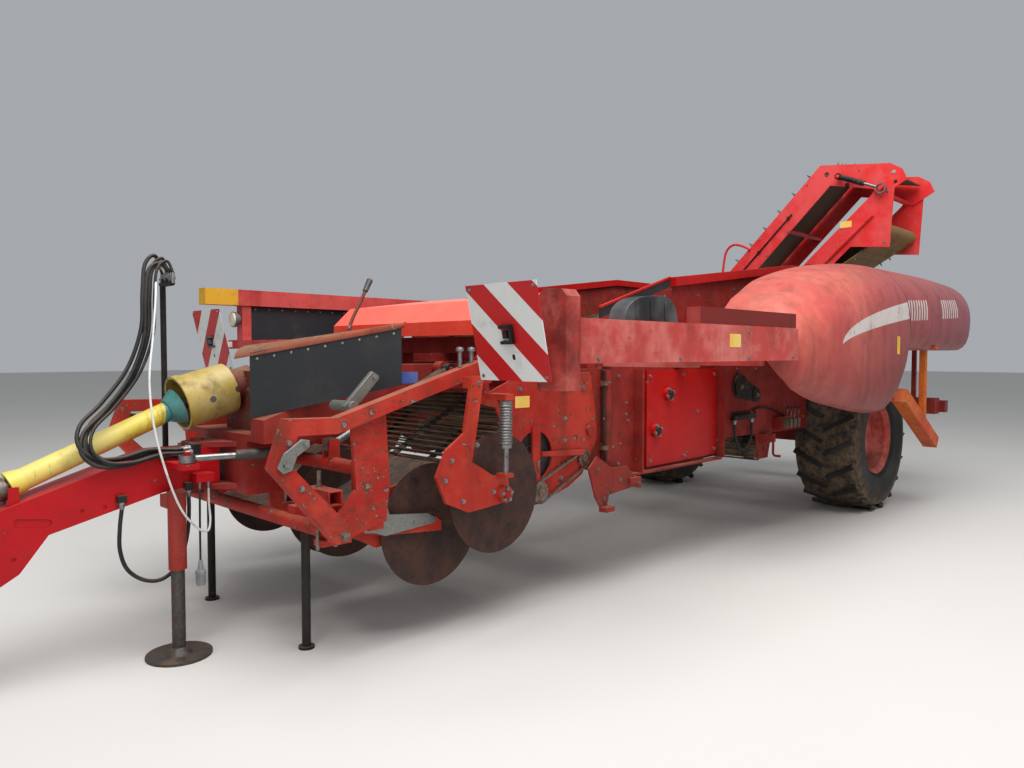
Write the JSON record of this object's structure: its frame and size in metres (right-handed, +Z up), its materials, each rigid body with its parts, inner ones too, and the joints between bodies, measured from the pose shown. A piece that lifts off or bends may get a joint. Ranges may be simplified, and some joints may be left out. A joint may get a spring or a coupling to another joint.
{
  "type": "trailed potato harvester",
  "caption": "Worn trailed two-row potato harvester with steered drawbar, cutting discs, sieving webs, rounded rear covers and a folded side elevator.",
  "frame": {"origin": "On the ground, under the middle of the machine's overall box.", "axes": "+X to the machine's rear, +Y to its right side seen in the driving direction, +Z up. The drawbar points to -X."},
  "size_m": [8.7, 3.3, 3.251],
  "materials": {
    "red_paint": "satin",
    "bright_red_paint": "satin",
    "faded_red_paint": "matte",
    "faded_plastic": "matte",
    "worn_steel": "rusty",
    "plated_steel": "satin",
    "rubber": "matte",
    "tyre_rubber": "matte",
    "yellow_plastic": "matte",
    "striped_board": "satin",
    "black_paint": "satin",
    "pale_plastic": "matte",
    "lamp_plastic": "gloss"
  },
  "bodies": {
    "chassis": {"side_walls": "red_paint", "front_frame": "red_paint", "rear_frame": "red_paint", "axle": "red_paint", "gearbox": "worn_steel", "drum_guard": "yellow_plastic", "left_beam": "faded_red_paint", "right_rail": "faded_red_paint", "intake_cover": "bright_red_paint", "rubber_guards": "rubber", "warning_boards": "striped_board", "bearing_plates": "bright_red_paint", "sieve_webs": "worn_steel", "haulm_web": "worn_steel", "roller_table": "worn_steel", "haulm_rails": "bright_red_paint", "covers": "faded_plastic", "rear_guard": "red_paint", "lamps": "lamp_plastic"},
    "drawbar": {"drawbar": "bright_red_paint", "hitch_ring": "worn_steel", "hose_holder": "black_paint", "jack_sleeve": "red_paint", "drive_shaft_guard": "yellow_plastic", "black_hose": "rubber", "white_cable": "pale_plastic", "lamp_cable": "rubber", "lamp_plug": "pale_plastic"},
    "jack_leg": {"jack_leg": "plated_steel"},
    "drive_shaft": {"drive_shaft": "plated_steel"},
    "steer_barrel": {"steer_barrel": "plated_steel"},
    "steer_rod": {"steer_rod": "plated_steel"},
    "intake": {"intake_frame": "red_paint", "disc_carriers": "bright_red_paint", "disc_springs": "plated_steel", "shares": "worn_steel", "intake_web": "worn_steel"},
    "disc_front_left": {"disc_front_left": "worn_steel"},
    "disc_front_middle": {"disc_front_middle": "worn_steel"},
    "disc_front_right": {"disc_front_right": "worn_steel"},
    "disc_rear_left": {"disc_rear_left": "worn_steel"},
    "disc_rear_right": {"disc_rear_right": "worn_steel"},
    "haulm_wheel_left": {"haulm_wheel_left": "rubber"},
    "haulm_wheel_right": {"haulm_wheel_right": "rubber"},
    "lift_barrels": {"lift_barrels": "plated_steel"},
    "lift_rods": {"lift_rods": "plated_steel"},
    "leg_left": {"leg_left": "black_paint"},
    "leg_right": {"leg_right": "black_paint"},
    "boom": {"boom_frame": "bright_red_paint", "boom_belt": "rubber"},
    "boom_barrels": {"boom_barrels": "plated_steel"},
    "boom_rods": {"boom_rods": "plated_steel"},
    "tip": {"tip_frame": "bright_red_paint", "tip_belt": "rubber"},
    "tip_barrel": {"tip_barrel": "plated_steel"},
    "tip_rod": {"tip_rod": "plated_steel"},
    "wheel_left": {"tyre_left": "tyre_rubber", "rim_left": "faded_red_paint"},
    "wheel_right": {"tyre_right": "tyre_rubber", "rim_right": "faded_red_paint"}
  },
  "joints": [
    {"name": "drawbar_steer", "type": "hinge", "parent": "chassis", "child": "drawbar", "pos_m": [-2.92, 0, 0.855], "axis": [0, 0, 1], "range_deg": [-20, 20]},
    {"name": "jack_slide", "type": "slide", "parent": "drawbar", "child": "jack_leg", "axis": [0, 0, 1], "range_m": [0, 0.25]},
    {"name": "drive_shaft_spin", "type": "hinge", "parent": "drawbar", "child": "drive_shaft", "pos_m": [-2.92, 0, 1.18], "axis": [-0.9205, 0, -0.3907], "continuous": true},
    {"name": "steer_barrel_swing", "type": "hinge", "parent": "chassis", "child": "steer_barrel", "pos_m": [-2.62, -0.4, 0.927], "axis": [0, 0, 1], "range_deg": [-6, 6]},
    {"name": "steer_rod_slide", "type": "slide", "parent": "steer_barrel", "child": "steer_rod", "axis": [-0.9781, 0.2081, 0], "range_m": [-0.12, 0.12]},
    {"name": "intake_lift", "type": "hinge", "parent": "chassis", "child": "intake", "pos_m": [-1, 0, 0.95], "axis": [0, 1, 0], "range_deg": [-14, 0]},
    {"name": "lift_barrels_swing", "type": "hinge", "parent": "chassis", "child": "lift_barrels", "pos_m": [-1.76, 0, 1.31], "axis": [0, 1, 0], "range_deg": [-22, 0]},
    {"name": "lift_rods_slide", "type": "slide", "parent": "lift_barrels", "child": "lift_rods", "axis": [-0.904, 0, -0.4276], "range_m": [0, 0.2]},
    {"name": "disc_front_left_spin", "type": "hinge", "parent": "intake", "child": "disc_front_left", "pos_m": [-2.11, -0.815, 0.56], "axis": [0, 1, 0], "continuous": true},
    {"name": "disc_front_middle_spin", "type": "hinge", "parent": "intake", "child": "disc_front_middle", "pos_m": [-2.11, 0, 0.56], "axis": [0, 1, 0], "continuous": true},
    {"name": "disc_front_right_spin", "type": "hinge", "parent": "intake", "child": "disc_front_right", "pos_m": [-2.11, 0.815, 0.56], "axis": [0, 1, 0], "continuous": true},
    {"name": "disc_rear_left_spin", "type": "hinge", "parent": "intake", "child": "disc_rear_left", "pos_m": [-1.832, -0.985, 0.7], "axis": [0, 1, 0], "continuous": true},
    {"name": "disc_rear_right_spin", "type": "hinge", "parent": "intake", "child": "disc_rear_right", "pos_m": [-1.832, 0.985, 0.7], "axis": [0, 1, 0], "continuous": true},
    {"name": "haulm_wheel_left_spin", "type": "hinge", "parent": "intake", "child": "haulm_wheel_left", "pos_m": [-1.46, -0.85, 0.84], "axis": [0, 1, 0], "continuous": true},
    {"name": "haulm_wheel_right_spin", "type": "hinge", "parent": "intake", "child": "haulm_wheel_right", "pos_m": [-1.46, 0.85, 0.84], "axis": [0, 1, 0], "continuous": true},
    {"name": "leg_left_slide", "type": "slide", "parent": "intake", "child": "leg_left", "axis": [0, 0, 1], "range_m": [0, 0.42]},
    {"name": "leg_right_slide", "type": "slide", "parent": "intake", "child": "leg_right", "axis": [0, 0, 1], "range_m": [0, 0.42]},
    {"name": "boom_lift", "type": "hinge", "parent": "chassis", "child": "boom", "pos_m": [3.5, 1.15, 1.33], "axis": [-1, 0, 0], "range_deg": [0, 25]},
    {"name": "boom_barrels_swing", "type": "hinge", "parent": "chassis", "child": "boom_barrels", "pos_m": [3.5, 0.1, 1.05], "axis": [-1, 0, 0], "range_deg": [0, 7]},
    {"name": "boom_rods_slide", "type": "slide", "parent": "boom_barrels", "child": "boom_rods", "axis": [0, 0.5402, 0.8415], "range_m": [0, 0.31]},
    {"name": "tip_fold", "type": "hinge", "parent": "boom", "child": "tip", "pos_m": [3.5, -1.045, 2.915], "axis": [-1, 0, 0], "range_deg": [0, 110.5]},
    {"name": "tip_barrel_swing", "type": "hinge", "parent": "boom", "child": "tip_barrel", "pos_m": [3.04, -0.7, 3.1], "axis": [-1, 0, 0], "range_deg": [-5, 5]},
    {"name": "tip_rod_slide", "type": "slide", "parent": "tip_barrel", "child": "tip_rod", "axis": [0, -0.9185, -0.3953], "range_m": [-0.13, 0.01]},
    {"name": "wheel_left_spin", "type": "hinge", "parent": "chassis", "child": "wheel_left", "pos_m": [2.65, -1.01, 0.64], "axis": [0, 1, 0], "continuous": true},
    {"name": "wheel_right_spin", "type": "hinge", "parent": "chassis", "child": "wheel_right", "pos_m": [2.65, 1.01, 0.64], "axis": [0, 1, 0], "continuous": true}
  ],
  "couplings": [
    {"joint": "steer_barrel_swing", "follows": "drawbar_steer", "ratio": 0.2181},
    {"joint": "steer_rod_slide", "follows": "drawbar_steer", "m_per_rad": -0.33},
    {"joint": "lift_barrels_swing", "follows": "intake_lift", "ratio": 1.4713},
    {"joint": "lift_rods_slide", "follows": "intake_lift", "m_per_rad": -0.7092},
    {"joint": "tip_fold", "follows": "boom_lift", "ratio": 4.4},
    {"joint": "boom_barrels_swing", "follows": "boom_lift", "ratio": 0.2385},
    {"joint": "boom_rods_slide", "follows": "boom_lift", "m_per_rad": 0.7033},
    {"joint": "tip_barrel_swing", "follows": "boom_lift", "ratio": 0.0497},
    {"joint": "tip_rod_slide", "follows": "boom_lift", "m_per_rad": -0.198}
  ]
}
